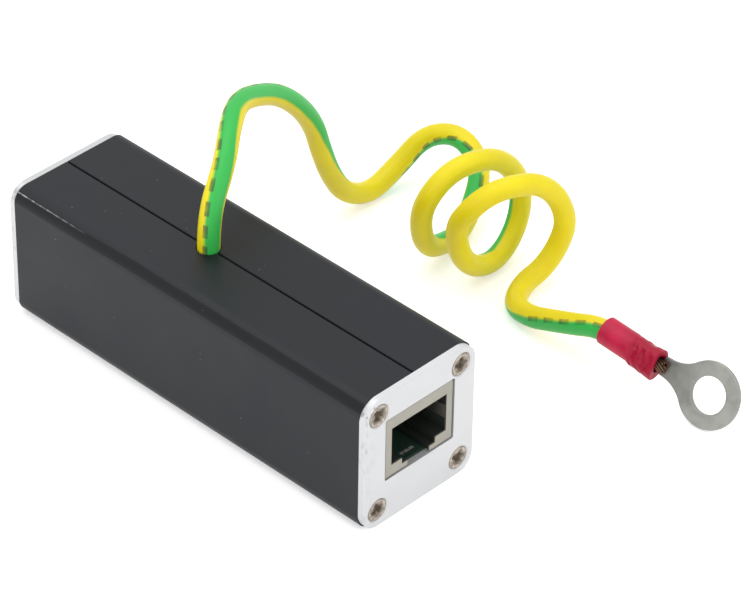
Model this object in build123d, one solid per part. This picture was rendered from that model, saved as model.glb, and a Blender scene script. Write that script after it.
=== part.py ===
"""In-line surge protector for one Ethernet line, with an earth wire and ring terminal.

Millimetres. The origin is the centre of the box's underside, +Z is up and +Y runs
along the box, so that the front socket faces -Y and the wire lies on the +X side.
"""
from build123d import *
from math import cos, pi, radians, sin, sqrt, tan
import os

# Housing: two extruded halves that meet a little left of the middle
box_width = 26.2
body_length = 83.8
cover_height = 5.3
wall = 1.5
edge_radius = 2.8
seam_x = -0.6
seam_gap = 0.25
seam_chamfer = 0.15
lap_length = 2.4
lap_thickness = 1.1
lap_play = 0.15

# End plates
plate_thickness = 1.3
plate_corner_radius = 3.5
plate_edge_chamfer = 0.15
cutout_width = 16.4
cutout_bottom = 8.7
cutout_corner_radius = 0.4
cut_margin = 1.0

# Screws and the channels that they cut into
screw_inset_x = 3.4
screw_inset_z = 3.4
screw_shank_diameter = 2.2
screw_play = 0.05
screw_length = 8.0
screw_tip_length = 0.8
screw_tip_diameter = 0.8
screw_head_diameter = 4.3
screw_head_land = 0.1
screw_head_sink = 0.15
channel_wall = 1.2
recess_span = 2.5
recess_blade = 0.75
recess_depth = 0.95
recess_taper = 18.0
screw_turns = (12, 38, 63, 80)

# Socket: folded shield, plastic insert and contact wires
jack_play = 0.3
jack_setback = 0.2
jack_depth = 17.0
shield_thickness = 0.3
shield_bend_radius = 0.45
mouth_width = 13.0
mouth_top_margin = 2.3
mouth_height = 7.65
first_notch_width = 7.9
first_notch_depth = 1.2
second_notch_width = 5.2
second_notch_depth = 0.95
insert_play = 0.1
cavity_play = 0.25
cavity_depth = 11.9
spring_height = 2.7
spring_drop = 2.5
spring_length = 7.0
spring_lean = 0.5
shield_leg_width = 1.2
shield_leg_length = 3.0
contact_count = 8
contact_pitch = 1.02
contact_width = 0.42
contact_thickness = 0.3
contact_slot_play = 0.12
contact_knee_depth = 2.6
contact_knee_run = 0.8
contact_bend_radius = 0.35
contact_shelf_rise = 0.9
contact_tip_gap = 1.6
contact_tip_drop = 2.7
contact_row_inset = 1.2
contact_row_gap = 2.54
comb_front_gap = 0.6

# Circuit board in the side grooves
board_thickness = 1.6
board_play = 0.12
board_rib_height = 1.0
board_rib_reach = 1.25
pin_hole_play = 0.1
pin_tail = 1.0

# Arresters and diodes
arrester_count = 4
arrester_diameter = 5.0
arrester_length = 7.6
arrester_band = 1.0
arrester_band_step = 0.15
arrester_standoff = 0.4
arrester_row_gap = 1.5
arrester_lead_diameter = 0.8
diode_count = 8
diode_length = 4.4
diode_width = 3.4
diode_height = 2.2
diode_draft = 5.0
diode_side_gap = 0.5
diode_foot = 1.0
diode_foot_width = 2.2
diode_foot_thickness = 0.25

# Earth wire: hole in the top, sizes and end inside
wire_diameter = 4.0
wire_hole_diameter = 4.4
wire_hole_y = 6.3
wire_core_diameter = 2.2
wire_strip_height = 4.0
wire_face_depth = 1.5
solder_radius = 2.4
solder_height = 0.9
solder_waist_out = 0.35
solder_waist_up = 0.55

# Earth wire outside: each bend takes this share of its shorter run
bend_share = 0.45

# The two open turns: where the wire's middle lies at the bottom, the left, the
# top and the right of each turn, seen from the front
turn_stations = (
    (52.2, 0.7, 3.2),
    (43.8, -1.4, 15.0),
    (52.0, -4.7, 23.7),
    (64.5, -6.8, 12.0),
    (55.6, -8.2, 1.8),
    (45.0, -8.7, 15.3),
    (52.3, -15.0, 23.8),
    (63.4, -18.7, 12.6),
    (54.6, -16.6, 2.1),
)
points_per_quarter = 3

# Ring terminal and its sleeve
ring_diameter = 12.1
stud_hole_diameter = 6.7
ring_thickness = 0.8
ring_x = 50.4
ring_y = -63.6
ring_heading = -87.9
ring_dip = 6.1
ring_roll = 63.3
ring_reach = 22.5
neck_width = 3.5
neck_fillet = 7.0
barrel_width = 4.2
barrel_height = 3.0
barrel_start = 5.0
barrel_nose = 0.5
barrel_inset = 0.6
mouth_run = 1.0
sleeve_length = 12.1
sleeve_diameter = 5.2
sleeve_play = 0.05
sleeve_round_length = 6.2
sleeve_flare_length = 1.4
sleeve_flat_width = 5.4
sleeve_flat_height = 4.2
crimp_dent_depth = 0.3
crimp_dent_length = 1.8
crimp_dent_width = 2.6
crimp_dent_inset = 0.5
crimp_dent_radius = 0.4
bore_step_gap = 0.3
strand_length = 1.4
wire_entry = 3.2

# Worked out from the sizes above
box_length = body_length + 2 * plate_thickness
board_top = cutout_bottom + jack_play
board_bottom = board_top - board_thickness
board_half_width = box_width / 2 - wall - board_play
jack_half_width = cutout_width / 2 - jack_play
first_notch_bottom = board_top + second_notch_depth
mouth_bottom = first_notch_bottom + first_notch_depth
mouth_top = mouth_bottom + mouth_height
jack_top = mouth_top + mouth_top_margin
cutout_top = jack_top + jack_play
box_height = cutout_top + cover_height
screw_x = box_width / 2 - screw_inset_x
screw_heights = (screw_inset_z, box_height - screw_inset_z)
pilot_radius = screw_shank_diameter / 2 + screw_play
jack_front = -box_length / 2 + jack_setback
jack_back = jack_front + jack_depth
barrel_rise = (barrel_height - ring_thickness) / 2

front_face = Plane(origin=(0, -box_length / 2, 0), x_dir=(1, 0, 0), z_dir=(0, -1, 0))


def xz_plane(y):
    """Plane with its x along +X, its y along +Z and its normal along -Y."""
    return Plane(origin=(0, y, 0), x_dir=(1, 0, 0), z_dir=(0, -1, 0))


def rect_from(x0, z0, x1, z1):
    """Rectangle by two opposite corners."""
    return Pos((x0 + x1) / 2, (z0 + z1) / 2) * Rectangle(x1 - x0, z1 - z0)


def block(x0, y0, z0, x1, y1, z1):
    """Box by two opposite corners."""
    return Pos((x0 + x1) / 2, (y0 + y1) / 2, (z0 + z1) / 2) * Box(x1 - x0, y1 - y0, z1 - z0)


def through_y(sketch, y_near, y_far):
    """A sketch drawn in X and Z, made solid from y_near to y_far."""
    return extrude(xz_plane(y_far) * sketch, amount=y_far - y_near)


def turned_to_rear(part):
    """The same piece at the other end of the box."""
    return part.rotate(Axis.Z, 180)


# Housing


def housing_profile(side):
    """Section of one half; side is -1 for the left half, whose tongues lie inside."""
    outer = RectangleRounded(box_width, box_height, edge_radius)
    inner = Rectangle(box_width - 2 * wall, box_height - 2 * wall)
    profile = Pos(0, box_height / 2) * (outer - inner)
    for x in (-screw_x, screw_x):
        for z in screw_heights:
            profile += Pos(x, z) * Circle(pilot_radius + channel_wall)
    for x in (-1, 1):
        root = x * (box_width / 2 - wall / 2)
        tip = x * (box_width / 2 - wall - board_rib_reach)
        for low in (board_bottom - board_rib_height, board_top + board_play):
            profile += rect_from(min(root, tip), low, max(root, tip), low + board_rib_height)
    for x in (-screw_x, screw_x):
        for z in screw_heights:
            profile -= Pos(x, z) * Circle(pilot_radius)
    half = box_width / 2
    if side < 0:
        keep = rect_from(-half, 0, seam_x - seam_gap / 2, box_height)
    else:
        keep = rect_from(seam_x + seam_gap / 2, 0, half, box_height)
    profile = profile & keep
    at_seam = [corner for corner in profile.vertices() if abs(corner.X - seam_x) < seam_gap]
    outside = [corner for corner in at_seam if abs(corner.Y - box_height / 2) > box_height / 2 - seam_gap]
    profile = chamfer(outside, seam_chamfer)
    step = wall / 2
    for middle, inward in ((0, 1), (box_height, -1)):
        joint_face = middle + inward * step
        tongue_end = joint_face + inward * lap_thickness
        low, high = sorted((joint_face, tongue_end))
        if side < 0:
            profile += rect_from(seam_x - lap_length, low, seam_x + lap_length, high)
        else:
            clear = seam_x + lap_length + lap_play
            cut_low, cut_high = sorted((joint_face, tongue_end + inward * lap_play))
            profile -= rect_from(seam_x, cut_low, clear, cut_high)
    return profile


def housing_half(side):
    """One extruded half, with its half of the wire's hole, which is drilled on the seam."""
    half = through_y(housing_profile(side), -body_length / 2, body_length / 2)
    hole = Pos(seam_x, wire_hole_y, box_height) * Cylinder(wire_hole_diameter / 2, box_height)
    return half - hole


# End plates and screws


def end_plate():
    """Front plate: socket cut-out and four countersunk holes."""
    y_out = -box_length / 2
    middle = box_height / 2
    outline = Pos(0, middle) * RectangleRounded(box_width, box_height, plate_corner_radius)
    plate = through_y(outline, y_out, y_out + plate_thickness)
    plate = chamfer(plate.edges().group_by(Axis.Y)[0], plate_edge_chamfer)
    opening = Pos(0, (cutout_bottom + cutout_top) / 2) * RectangleRounded(
        cutout_width, cutout_top - cutout_bottom, cutout_corner_radius
    )
    plate -= through_y(opening, y_out - cut_margin, y_out + plate_thickness + cut_margin)
    for place in screw_places():
        plate -= place * screw_seat()
    return plate


def screw_places():
    """Where the four front screws sit: local +Z points out of the plate."""
    return [front_face * Pos(x, z) for x in (-screw_x, screw_x) for z in screw_heights]


def head_profile(play):
    """Half section of a countersunk head, down from the head's top."""
    rim = screw_head_diameter / 2
    shank = screw_shank_diameter / 2 + play
    cone_foot = -screw_head_land - (rim - shank)
    return [(0, 0), (rim, 0), (rim, -screw_head_land), (shank, cone_foot)]


def screw_seat():
    """What the plate loses to one screw: a cone as wide as the head's land and sink ask."""
    shank, cone_foot = head_profile(screw_play)[-1]
    mouth = shank - cone_foot + screw_head_sink
    low = -2 * plate_thickness
    points = [(0, screw_head_sink), (mouth, screw_head_sink), (shank, cone_foot), (shank, low), (0, low)]
    return Pos(0, 0, -screw_head_sink) * revolve(Plane.XZ * Polygon(*points, align=None), Axis.Z)


def screw():
    """Countersunk self-tapping screw with a cross recess, its head's top at z = 0."""
    points = head_profile(0)
    shank = points[-1][0]
    points += [
        (shank, -screw_length + screw_tip_length),
        (screw_tip_diameter / 2, -screw_length),
        (0, -screw_length),
    ]
    body = revolve(Plane.XZ * Polygon(*points, align=None), Axis.Z)
    cross = Rectangle(recess_span, recess_blade) + Rectangle(recess_blade, recess_span)
    return body - extrude(cross, amount=-recess_depth, taper=recess_taper)


def end_screws():
    """The four front screws, a little sunk and turned as a hand would leave them."""
    sunk = Pos(0, 0, -screw_head_sink)
    return [place * sunk * Rot(0, 0, turn) * screw() for place, turn in zip(screw_places(), screw_turns)]


# Socket


def mouth_sketch(grow=0.0):
    """The plug opening with its two-step latch notch, at the bottom."""
    half = mouth_width / 2 + grow
    first = first_notch_width / 2 + grow
    second = second_notch_width / 2 + grow
    mouth = rect_from(-half, mouth_bottom - grow, half, mouth_top + grow)
    mouth += rect_from(-first, first_notch_bottom - grow, first, mouth_top)
    return mouth + rect_from(-second, board_top - cut_margin, second, mouth_top)


def jack_shield():
    """Folded shield: front, sides, top and back, with springs and board legs."""
    skin = shield_thickness
    shell = block(-jack_half_width, jack_front, board_top, jack_half_width, jack_back, jack_top)
    shell = fillet(shell.edges().filter_by(Axis.Y).group_by(Axis.Z)[-1], shield_bend_radius)
    inner = block(
        -jack_half_width + skin,
        jack_front + skin,
        board_top - cut_margin,
        jack_half_width - skin,
        jack_back - skin,
        jack_top - skin,
    )
    shell -= inner
    shell -= through_y(mouth_sketch(), jack_front - cut_margin, jack_front + 2 * skin)
    middle = (jack_front + jack_back) / 2
    for side in (-1, 1):
        outer = side * jack_half_width
        shell += block(
            min(outer, outer - side * skin),
            middle - shield_leg_width / 2,
            board_top - shield_leg_length,
            max(outer, outer - side * skin),
            middle + shield_leg_width / 2,
            board_top + shield_leg_width,
        )
        shell += side_spring(side)
    return shell


def side_spring(side):
    """Grounding spring folded in from the edge of the opening."""
    root = mouth_width / 2
    tip = root - spring_lean
    end = jack_front + spring_length
    outline = Polygon(
        (root, jack_front),
        (root + shield_thickness, jack_front),
        (tip + shield_thickness, end),
        (tip, end),
        align=None,
    )
    low = mouth_top - spring_drop - spring_height
    spring = extrude(Plane.XY.offset(low) * outline, amount=spring_height)
    return spring if side > 0 else mirror(spring, about=Plane.YZ)


def spring_pocket(side):
    """Room in the insert for a side spring, where a plug presses it back."""
    near = side * (mouth_width / 2 - spring_lean - insert_play)
    far = side * (mouth_width / 2 + shield_thickness + insert_play)
    top = mouth_top - spring_drop + insert_play
    return block(
        min(near, far),
        jack_front,
        top - spring_height - 2 * insert_play,
        max(near, far),
        jack_front + spring_length + insert_play,
        top,
    )


def contact_xs():
    """Middle of each contact wire across the socket."""
    first = -(contact_count - 1) / 2 * contact_pitch
    return [first + contact_pitch * index for index in range(contact_count)]


def contact_back(index):
    """Where a contact goes down to the board: two rows, one behind the other."""
    row = contact_row_gap if index % 2 else 0.0
    return jack_back - shield_thickness - contact_row_inset - row


def contact_points(index):
    """Middle line of one contact in Y and Z, from its free tip to its board pin."""
    back = contact_back(index)
    shelf = mouth_top + contact_shelf_rise
    knee = jack_front + contact_knee_depth
    return [
        (jack_front + cavity_depth - contact_tip_gap, mouth_top - contact_tip_drop),
        (knee + contact_knee_run, mouth_top),
        (knee, shelf),
        (back, shelf),
        (back, board_bottom - pin_tail),
    ]


def contact_wire(index):
    """One contact: a flat spring wire bent in the plane across the board."""
    corners = [Vector(contact_xs()[index], y, z) for y, z in contact_points(index)]
    path = FilletPolyline(*corners, radius=contact_bend_radius)
    start = path ^ 0
    section = Plane(origin=start.position, x_dir=(1, 0, 0), z_dir=start.z_axis.direction)
    return sweep(section * Rectangle(contact_width, contact_thickness), path=path)


def contact_slot(index):
    """Room for one contact in the insert: open comb, shelf and riser."""
    x = contact_xs()[index]
    half = contact_width / 2 + contact_slot_play
    reach = contact_thickness / 2 + contact_slot_play
    shelf = mouth_top + contact_shelf_rise
    front = jack_front + contact_knee_depth - comb_front_gap
    riser_front = contact_back(index) - reach - contact_bend_radius
    riser_back = contact_back(index) + reach
    shelf_low = shelf - reach - contact_bend_radius
    comb = block(x - half, front, mouth_top - reach, x + half, jack_front + cavity_depth, shelf)
    top = block(x - half, front, shelf_low, x + half, riser_back, shelf + reach)
    riser = block(x - half, riser_front, board_top - cut_margin, x + half, riser_back, shelf)
    return comb + top + riser


def jack_insert():
    """Moulded insert: plug cavity, comb for the contacts and a pocket for each spring."""
    skin = shield_thickness + insert_play
    body = block(
        -jack_half_width + skin,
        jack_front + skin,
        board_top,
        jack_half_width - skin,
        jack_back - skin,
        jack_top - skin,
    )
    cavity = through_y(mouth_sketch(cavity_play / 2), jack_front, jack_front + cavity_depth)
    body -= cavity
    for side in (-1, 1):
        body -= spring_pocket(side)
        leg = side * jack_half_width
        reach = side * (shield_thickness + 2 * insert_play)
        body -= block(
            min(leg, leg - reach),
            jack_front,
            board_top - cut_margin,
            max(leg, leg - reach),
            jack_back,
            jack_top,
        )
    for index in range(contact_count):
        body -= contact_slot(index)
    return body


# Circuit board and what it carries


def arrester_spots():
    """Middles of the gas arresters: a row from the front socket back to the wire."""
    near = jack_back + arrester_row_gap
    far = wire_hole_y - wire_diameter / 2 - arrester_row_gap
    pitch = (far - near) / arrester_count
    return [near + pitch * (index + 0.5) for index in range(arrester_count)]


def board():
    """Board with holes for the contacts, shield legs, arresters and earth wire."""
    end = box_length / 2 - plate_thickness - board_play
    plate = block(-board_half_width, -end, board_bottom, board_half_width, end, board_top)
    through = 3 * board_thickness
    pin_side = contact_width + 2 * pin_hole_play
    leg_width = shield_thickness + 2 * pin_hole_play
    leg_length = shield_leg_width + 2 * pin_hole_play
    leg_y = (jack_front + jack_back) / 2
    core_radius = wire_core_diameter / 2 + pin_hole_play
    lead_radius = arrester_lead_diameter / 2 + pin_hole_play
    cutters = [Pos(seam_x, wire_hole_y, board_top) * Cylinder(core_radius, through)]
    for turn in (0, 180):
        for index, x in enumerate(contact_xs()):
            pin = Pos(x, contact_back(index), board_top) * Box(pin_side, pin_side, through)
            cutters.append(Rot(0, 0, turn) * pin)
        for side in (-1, 1):
            leg_x = side * (jack_half_width - shield_thickness / 2)
            leg = Pos(leg_x, leg_y, board_top) * Box(leg_width, leg_length, through)
            cutters.append(Rot(0, 0, turn) * leg)
    for y in arrester_spots():
        for lead in (-1, 0, 1):
            spot = Pos(lead * arrester_lead_x(), y, board_top)
            cutters.append(spot * Cylinder(lead_radius, through))
    for cutter in cutters:
        plate -= cutter
    return plate


def arrester_lead_x():
    """How far an outer arrester lead stands from the middle one."""
    return arrester_length / 2 - arrester_band / 2


def arrester_axis(y):
    """Place of an arrester: its axis across the board, clear of it."""
    return Pos(0, y, board_top + arrester_diameter / 2 + arrester_standoff) * Rot(0, 90, 0)


def arrester_tubes():
    """The two ceramic tubes of each three-electrode arrester."""
    span = (arrester_length - 3 * arrester_band) / 2
    radius = arrester_diameter / 2 - arrester_band_step
    tubes = []
    for y in arrester_spots():
        for side in (-1, 1):
            offset = side * (arrester_band / 2 + span / 2)
            tube = Pos(0, 0, offset) * Cylinder(radius, span)
            tubes.append(arrester_axis(y) * tube)
    return tubes


def arrester_electrodes():
    """The three metal bands of each arrester, each with its lead through the board."""
    metal = []
    for y in arrester_spots():
        for lead in (-1, 0, 1):
            x = lead * arrester_lead_x()
            band = Pos(0, 0, x) * Cylinder(arrester_diameter / 2, arrester_band)
            top = board_top + arrester_diameter / 2
            low = board_bottom - pin_tail
            wire = Pos(x, y, (top + low) / 2) * Cylinder(arrester_lead_diameter / 2, top - low)
            metal.append(arrester_axis(y) * band + wire)
    return metal


def diode_spots():
    """Middles of the diode arrays: one row along each side of the board."""
    half = diode_count // 2
    pitch = -2 * jack_back / (half + 1)
    rib_tip = box_width / 2 - wall - board_rib_reach
    x = rib_tip - diode_side_gap - diode_width / 2
    return [(side * x, jack_back + pitch * (index + 1)) for side in (-1, 1) for index in range(half)]


def diode_bodies():
    """Moulded diode bodies, drafted as they leave the mould."""
    bodies = []
    for x, y in diode_spots():
        lower = Pos(x, y, board_top + diode_foot_thickness) * Rectangle(diode_width, diode_length)
        bodies.append(extrude(lower, amount=diode_height, taper=diode_draft))
    return bodies


def diode_feet():
    """Flat soldered feet under both ends of each diode."""
    feet = []
    for x, y in diode_spots():
        for side in (-1, 1):
            middle = Pos(x, y + side * diode_length / 2, board_top + diode_foot_thickness / 2)
            feet.append(middle * Box(diode_foot_width, 2 * diode_foot, diode_foot_thickness))
    return feet


# Earth wire


def terminal_plane():
    """Frame of the ring terminal: x from the wire to the ring, z square to the ring."""
    heading = radians(ring_heading)
    dip = radians(ring_dip)
    along = Vector(cos(heading) * cos(dip), sin(heading) * cos(dip), -sin(dip))
    level = Vector(-sin(heading), cos(heading), 0)
    upright = along.cross(level)
    roll = radians(ring_roll)
    normal = (upright * cos(roll) - level * sin(roll)).normalized()
    if normal.Z < 0:
        normal = normal * -1
    lean = sqrt(1 - normal.Z**2)
    height = ring_diameter / 2 * lean + ring_thickness / 2 * normal.Z
    centre = Vector(ring_x, ring_y, height)
    return Plane(origin=centre, x_dir=along, z_dir=normal)


def lead_points():
    """Route from inside the hole, up and over to the table, to the first loop."""
    return [
        (seam_x, wire_hole_y, box_height - wire_face_depth),
        (seam_x, wire_hole_y, 33.3),
        (5.8, 8.9, 39.3),
        (11.3, 13.2, 42.5),
        (17.3, 17.4, 42.7),
        (23.9, 19.5, 40.0),
        (30.2, 20.6, 36.5),
        (35.6, 21.0, 31.3),
        (39.7, 21.4, 25.1),
        (42.2, 22.0, 18.1),
        (45.0, 22.4, 11.2),
        (48.8, 22.4, 4.9),
        (55.6, 22.4, 1.5),
        (62.6, 22.3, 4.2),
        (67.8, 20.2, 9.9),
        (70.0, 13.3, 12.3),
        (68.4, 6.4, 9.1),
        (62.8, 3.6, 4.2),
        (57.1, 1.8, 1.7),
    ]


def coil_points():
    """Points of the two turns: a quarter of an ellipse from each station to the next."""
    points = []
    for index in range(len(turn_stations) - 1):
        x0, y0, z0 = turn_stations[index]
        x1, y1, z1 = turn_stations[index + 1]
        for step in range(points_per_quarter):
            angle = pi / 2 * step / points_per_quarter
            leave, arrive = sin(angle), 1 - cos(angle)
            if index % 2:
                leave, arrive = arrive, leave
            y = y0 + (y1 - y0) * step / points_per_quarter
            points.append((x0 + (x1 - x0) * leave, y, z0 + (z1 - z0) * arrive))
    points.append(turn_stations[-1])
    return points


def tail_points():
    """Route along the table from the last loop into the mouth of the sleeve."""
    mouth = terminal_plane()
    before = mouth.from_local_coords((-ring_reach - mouth_run, 0, barrel_rise))
    inside = mouth.from_local_coords((-ring_reach + wire_entry, 0, barrel_rise))
    return [
        (48.9, -19.5, 2.0),
        (47.4, -25.0, 3.1),
        (47.6, -29.5, 4.7),
        (47.9, -34.9, 6.6),
        (before.X, before.Y, before.Z),
        (inside.X, inside.Y, inside.Z),
    ]


def wire_radii(corners):
    """Bend radius at each corner: a share of its shorter run over the tangent of half its turn."""
    radii = []
    for before, here, after in zip(corners, corners[1:], corners[2:]):
        run_in = here - before
        run_out = after - here
        half_turn = radians(run_in.get_angle(run_out)) / 2
        radii.append(bend_share * min(run_in.length, run_out.length) / tan(half_turn))
    return radii


def wire_tube(name, corners, radii):
    """Round wire along straight runs joined by tangent arcs."""
    path = FilletPolyline(*corners, radius=radii)
    start = path ^ 0
    face = Plane(origin=start.position, z_dir=start.z_axis.direction)
    tube = sweep(face * Circle(wire_diameter / 2), path=path)
    share = tube.volume / (pi * wire_diameter**2 / 4 * path.length)
    print(name, "length", round(path.length, 1), "volume over section times length", round(share, 4))
    print("  bend radii", [round(radius, 1) for radius in radii])
    return tube


def earth_wire():
    """The free wire in three pieces that meet face to face on straight runs."""
    lead = [Vector(*point) for point in lead_points()]
    coil = [Vector(*point) for point in coil_points()]
    tail = [Vector(*point) for point in tail_points()]
    radii = wire_radii(lead + coil + tail)
    first_cut = (lead[-1] + coil[0]) / 2
    second_cut = (coil[-1] + tail[0]) / 2
    after_lead = len(lead) - 1
    after_coil = after_lead + len(coil)
    coil_run = [first_cut] + coil + [second_cut]
    return {
        "earth_wire_lead": wire_tube("lead", lead + [first_cut], radii[:after_lead]),
        "earth_wire_coil": wire_tube("coil", coil_run, radii[after_lead:after_coil]),
        "earth_wire_tail": wire_tube("tail", [second_cut] + tail, radii[after_coil:]),
    }


def wire_inside():
    """Insulated wire from the board side of the hole down to where it is stripped."""
    top = box_height - wire_face_depth
    low = board_top + wire_strip_height
    return Pos(seam_x, wire_hole_y, (top + low) / 2) * Cylinder(wire_diameter / 2, top - low)


def wire_core():
    """Bare copper end, through its hole in the board."""
    top = board_top + wire_strip_height
    low = board_bottom - pin_tail
    return Pos(seam_x, wire_hole_y, (top + low) / 2) * Cylinder(wire_core_diameter / 2, top - low)


def earth_solder():
    """Solder cones above and below the board round the copper."""
    core = wire_core_diameter / 2
    waist = core + (solder_radius - core) * solder_waist_out
    cone = Polygon(
        (core, 0),
        (solder_radius, 0),
        (waist, solder_height * solder_waist_up),
        (core, solder_height),
        align=None,
    )
    upper = revolve(Plane.XZ * cone, Axis.Z)
    above = Pos(seam_x, wire_hole_y, board_top) * upper
    below = Pos(seam_x, wire_hole_y, board_bottom) * Rot(180, 0, 0) * upper
    return [above, below]


# Ring terminal


def flat_section(x, width, height):
    """Section across the terminal's axis at x: an ellipse about the barrel's middle."""
    across = Plane(origin=(x, 0, barrel_rise), x_dir=(0, 1, 0), z_dir=(1, 0, 0))
    return across * Ellipse(width / 2, height / 2)


def along_terminal(x0, x1, width, height):
    """Straight rod of elliptical section from x0 to x1."""
    return extrude(flat_section(x0, width, height), amount=x1 - x0)


def ring_terminal():
    """Stamped ring and neck in one piece with the barrel that is crimped on the copper.

    Towards the ring only the barrel's floor goes on, out of the sleeve and into the neck.
    """
    sleeve_end = -ring_reach + sleeve_length
    neck = rect_from(sleeve_end + sleeve_play, -neck_width / 2, 0, neck_width / 2)
    blade = Circle(ring_diameter / 2) + neck
    where_neck_meets_ring = blade.vertices().group_by(Axis.X)[1]
    blade = fillet(where_neck_meets_ring, neck_fillet) - Circle(stud_hole_diameter / 2)
    blade = extrude(blade, amount=ring_thickness / 2, both=True)
    barrel_end = sleeve_end + barrel_nose
    barrel = along_terminal(-ring_reach + barrel_start, barrel_end, barrel_width, barrel_height)
    open_start = sleeve_end - barrel_inset
    blade_top = ring_thickness / 2
    barrel -= block(open_start, -barrel_width, blade_top, barrel_end, barrel_width, 2 * barrel_height)
    bore = along_terminal(-ring_reach, 0, wire_core_diameter, wire_core_diameter)
    return (blade + barrel) - bore


def terminal_sleeve():
    """Soft sleeve: round over the wire, pressed flat with two dents over the barrel."""
    mouth = -ring_reach
    flare = mouth + sleeve_round_length
    flat = flare + sleeve_flare_length
    end = mouth + sleeve_length
    body = along_terminal(mouth, flare, sleeve_diameter, sleeve_diameter)
    round_end = flat_section(flare, sleeve_diameter, sleeve_diameter)
    flat_start = flat_section(flat, sleeve_flat_width, sleeve_flat_height)
    body += loft([round_end, flat_start])
    body += along_terminal(flat, end, sleeve_flat_width, sleeve_flat_height)
    wire_bore = wire_diameter + 2 * sleeve_play
    barrel_bore_width = barrel_width + 2 * sleeve_play
    barrel_bore_height = barrel_height + 2 * sleeve_play
    bore_step = mouth + barrel_start - bore_step_gap
    body -= along_terminal(mouth, bore_step, wire_bore, wire_bore)
    body -= along_terminal(bore_step, end, barrel_bore_width, barrel_bore_height)
    top = barrel_rise + sleeve_flat_height / 2
    inset = crimp_dent_inset + crimp_dent_length / 2
    for middle in (flat + inset, end - inset):
        dent = Pos(middle, 0, top) * Box(crimp_dent_length, crimp_dent_width, 2 * crimp_dent_depth)
        body -= fillet(dent.edges().filter_by(Axis.Z), crimp_dent_radius)
    return body


def wire_strands():
    """Copper of the free end, from the cut insulation out past the sleeve."""
    start = -ring_reach + wire_entry
    end = -ring_reach + sleeve_length + strand_length
    return along_terminal(start, end, wire_core_diameter, wire_core_diameter)


def build():
    """Every piece by the name of its node."""
    shield = jack_shield()
    insert = jack_insert()
    contacts = [contact_wire(index) for index in range(contact_count)]
    pieces = {
        "housing_left": housing_half(-1),
        "housing_right": housing_half(1),
        "front_plate": end_plate(),
        "rear_plate": turned_to_rear(end_plate()),
        "front_screws": end_screws(),
        "rear_screws": [turned_to_rear(part) for part in end_screws()],
        "front_jack_shield": shield,
        "rear_jack_shield": turned_to_rear(shield),
        "front_jack_insert": insert,
        "rear_jack_insert": turned_to_rear(insert),
        "front_jack_contacts": contacts,
        "rear_jack_contacts": [turned_to_rear(part) for part in contacts],
        "circuit_board": board(),
        "arrester_tubes": arrester_tubes(),
        "arrester_electrodes": arrester_electrodes(),
        "diode_bodies": diode_bodies(),
        "diode_feet": diode_feet(),
        "earth_wire_inside": wire_inside(),
        "earth_wire_core": wire_core(),
        "earth_solder": earth_solder(),
    }
    pieces.update(earth_wire())
    for node, maker in (
        ("terminal_sleeve", terminal_sleeve),
        ("wire_strands", wire_strands),
        ("ring_terminal", ring_terminal),
    ):
        pieces[node] = terminal_plane() * maker()
    return pieces


os.makedirs("parts", exist_ok=True)
for node, shape in build().items():
    solid = Compound(children=shape) if isinstance(shape, list) else shape
    export_step(solid, f"parts/{node}.step")
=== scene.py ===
"""Looks of the in-line surge protector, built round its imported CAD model.

Laid out as an add-on and run as a script. Metres, in the CAD model's own frame: +Z is
up, the front socket faces -Y and the earth wire lies on the +X side.
"""

import math
from functools import partial

import bpy
import numpy as np
from bpy.props import FloatProperty, FloatVectorProperty, IntProperty, PointerProperty
from mathutils import Matrix, Vector


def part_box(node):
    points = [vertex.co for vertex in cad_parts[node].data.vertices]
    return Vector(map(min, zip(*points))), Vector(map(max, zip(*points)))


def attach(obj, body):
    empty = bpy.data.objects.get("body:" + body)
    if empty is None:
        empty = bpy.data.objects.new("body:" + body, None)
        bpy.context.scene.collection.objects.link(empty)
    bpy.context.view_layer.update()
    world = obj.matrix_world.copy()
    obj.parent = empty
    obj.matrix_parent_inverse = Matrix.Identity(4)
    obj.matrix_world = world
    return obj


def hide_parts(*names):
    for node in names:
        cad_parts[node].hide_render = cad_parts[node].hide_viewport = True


bl_info = {
    "name": "Surge protector looks",
    "version": (1, 0, 0),
    "blender": (4, 5, 0),
    "location": "3D View > Sidebar > Protector",
    "description": "Wire, terminal, finishes and stage of an in-line surge protector",
    "category": "Object",
}

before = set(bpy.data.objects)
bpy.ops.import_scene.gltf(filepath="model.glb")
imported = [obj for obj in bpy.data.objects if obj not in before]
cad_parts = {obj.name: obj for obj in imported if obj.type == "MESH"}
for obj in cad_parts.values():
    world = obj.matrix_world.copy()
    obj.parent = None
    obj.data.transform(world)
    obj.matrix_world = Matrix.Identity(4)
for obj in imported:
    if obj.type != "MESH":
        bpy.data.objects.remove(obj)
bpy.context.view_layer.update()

MM = 0.001

# Rounding of the housing's long edges, the seam's place and where round the upper left
# edge, in degrees from its top, the anodising is worn off in a line that is wear and
# painted highlight both
EDGE_RADIUS = 2.8
SEAM_X = -0.6
RUBBED_HIGHLIGHT_ANGLE = 43

# The box's outer planes, read from its CAD nodes
body_low, body_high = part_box("housing_left")[0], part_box("housing_right")[1]
plate_face_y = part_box("front_plate")[0][1]

# Tinned pads of the board: their distance from its middle, in millimetres
PAD_PLACE = 40.3

# Terminal: the places and sizes of the CAD model, in millimetres and degrees
RING_CENTRE = (50.4, -63.6)
RING_HEADING = -87.9
RING_DIP = 6.1
RING_ROLL = 63.3
RING_REACH = 22.5
SLEEVE_LENGTH = 12.1
SLEEVE_OUTSIDE = 5.2
SLEEVE_BORE = 4.3
BARREL_START = 5.0
BARREL_INSET = 0.6
BARREL_WIDTH = 4.2
BARREL_HEIGHT = 3.0
BARREL_BORE = 2.35
NECK_WIDTH = 3.5
NECK_FILLET = 7.0
WIRE_ENTRY = 3.2
MOUTH_RUN = 1.0

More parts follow.
